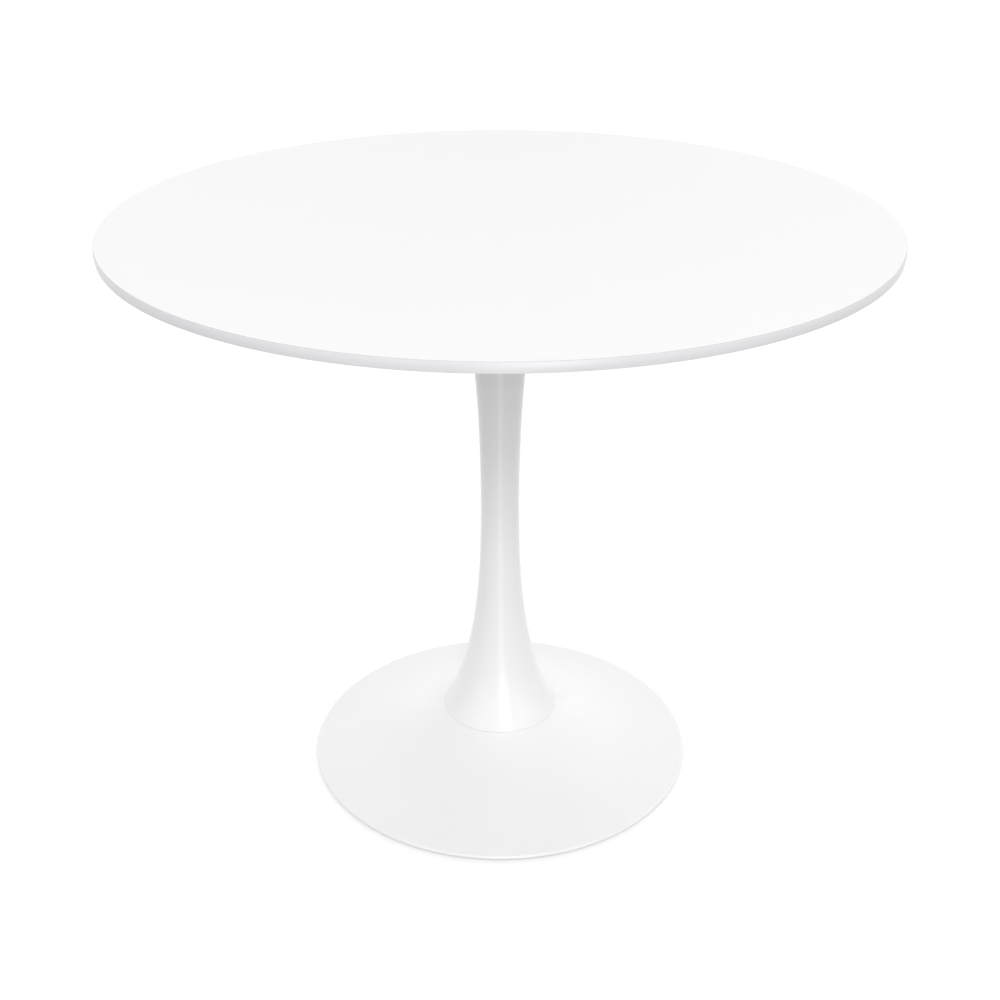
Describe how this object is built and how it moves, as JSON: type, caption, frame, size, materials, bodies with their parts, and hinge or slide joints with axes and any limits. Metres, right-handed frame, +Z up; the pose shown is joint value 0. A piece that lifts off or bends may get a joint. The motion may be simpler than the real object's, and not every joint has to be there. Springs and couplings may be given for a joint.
{
  "type": "round pedestal table",
  "caption": "Round white table on one trumpet-shaped column that flares into a shallow round base with levelling glides.",
  "frame": {"origin": "on the floor, under the column's axis", "axes": "+Z up along the column; the object is round, and its glides stand on the diagonals between +X and +Y"},
  "size_m": [0.8997, 0.8998, 0.73],
  "materials": {
    "white_lacquer": "satin white lacquer on a fibreboard core",
    "white_coating": "satin white powder coat on spun steel",
    "black_coating": "matt black powder coat on plate steel",
    "zinc_plated_steel": "bright zinc plating",
    "black_plastic": "moulded black polyethylene",
    "white_nylon": "moulded white nylon"
  },
  "bodies": {
    "table": {"table_top": "white_lacquer", "insert_nuts": "zinc_plated_steel", "top_plate": "black_coating", "top_plate_screws": "zinc_plated_steel", "top_plate_washers": "zinc_plated_steel", "tie_rod_anchor_nut": "zinc_plated_steel", "column_locating_ring": "zinc_plated_steel", "column": "white_coating", "tie_rod": "zinc_plated_steel", "column_foot_gasket": "white_nylon", "base_shell": "white_coating", "base_hub": "zinc_plated_steel", "hub_washer": "zinc_plated_steel", "hub_spring_washer": "zinc_plated_steel", "hub_nut": "zinc_plated_steel", "hub_cap": "black_plastic", "base_plate": "black_coating", "ballast_disc": "black_coating", "ballast_screws": "zinc_plated_steel", "glide_weld_nuts": "zinc_plated_steel"},
    "glide_pad_1": {"glide_pad_1": "white_nylon"},
    "glide_stud_1": {"glide_stud_1": "zinc_plated_steel"},
    "glide_pad_2": {"glide_pad_2": "white_nylon"},
    "glide_stud_2": {"glide_stud_2": "zinc_plated_steel"},
    "glide_pad_3": {"glide_pad_3": "white_nylon"},
    "glide_stud_3": {"glide_stud_3": "zinc_plated_steel"},
    "glide_pad_4": {"glide_pad_4": "white_nylon"},
    "glide_stud_4": {"glide_stud_4": "zinc_plated_steel"}
  },
  "joints": [
    {"name": "glide_1_extend", "type": "slide", "parent": "table", "child": "glide_pad_1", "axis": [0, 0, -1], "range_m": [0, 0.00505]},
    {"name": "glide_1_turn", "type": "hinge", "parent": "glide_pad_1", "child": "glide_stud_1", "pos_m": [0.13081, 0.13081, 0.005], "axis": [0, 0, -1], "range_deg": [0, 1440]},
    {"name": "glide_2_extend", "type": "slide", "parent": "table", "child": "glide_pad_2", "axis": [0, 0, -1], "range_m": [0, 0.00505]},
    {"name": "glide_2_turn", "type": "hinge", "parent": "glide_pad_2", "child": "glide_stud_2", "pos_m": [-0.13081, 0.13081, 0.005], "axis": [0, 0, -1], "range_deg": [0, 1440]},
    {"name": "glide_3_extend", "type": "slide", "parent": "table", "child": "glide_pad_3", "axis": [0, 0, -1], "range_m": [0, 0.00505]},
    {"name": "glide_3_turn", "type": "hinge", "parent": "glide_pad_3", "child": "glide_stud_3", "pos_m": [-0.13081, -0.13081, 0.005], "axis": [0, 0, -1], "range_deg": [0, 1440]},
    {"name": "glide_4_extend", "type": "slide", "parent": "table", "child": "glide_pad_4", "axis": [0, 0, -1], "range_m": [0, 0.00505]},
    {"name": "glide_4_turn", "type": "hinge", "parent": "glide_pad_4", "child": "glide_stud_4", "pos_m": [0.13081, -0.13081, 0.005], "axis": [0, 0, -1], "range_deg": [0, 1440]}
  ],
  "couplings": [
    {"joint": "glide_1_extend", "follows": "glide_1_turn", "m_per_rad": 0.00019894},
    {"joint": "glide_2_extend", "follows": "glide_2_turn", "m_per_rad": 0.00019894},
    {"joint": "glide_3_extend", "follows": "glide_3_turn", "m_per_rad": 0.00019894},
    {"joint": "glide_4_extend", "follows": "glide_4_turn", "m_per_rad": 0.00019894}
  ]
}
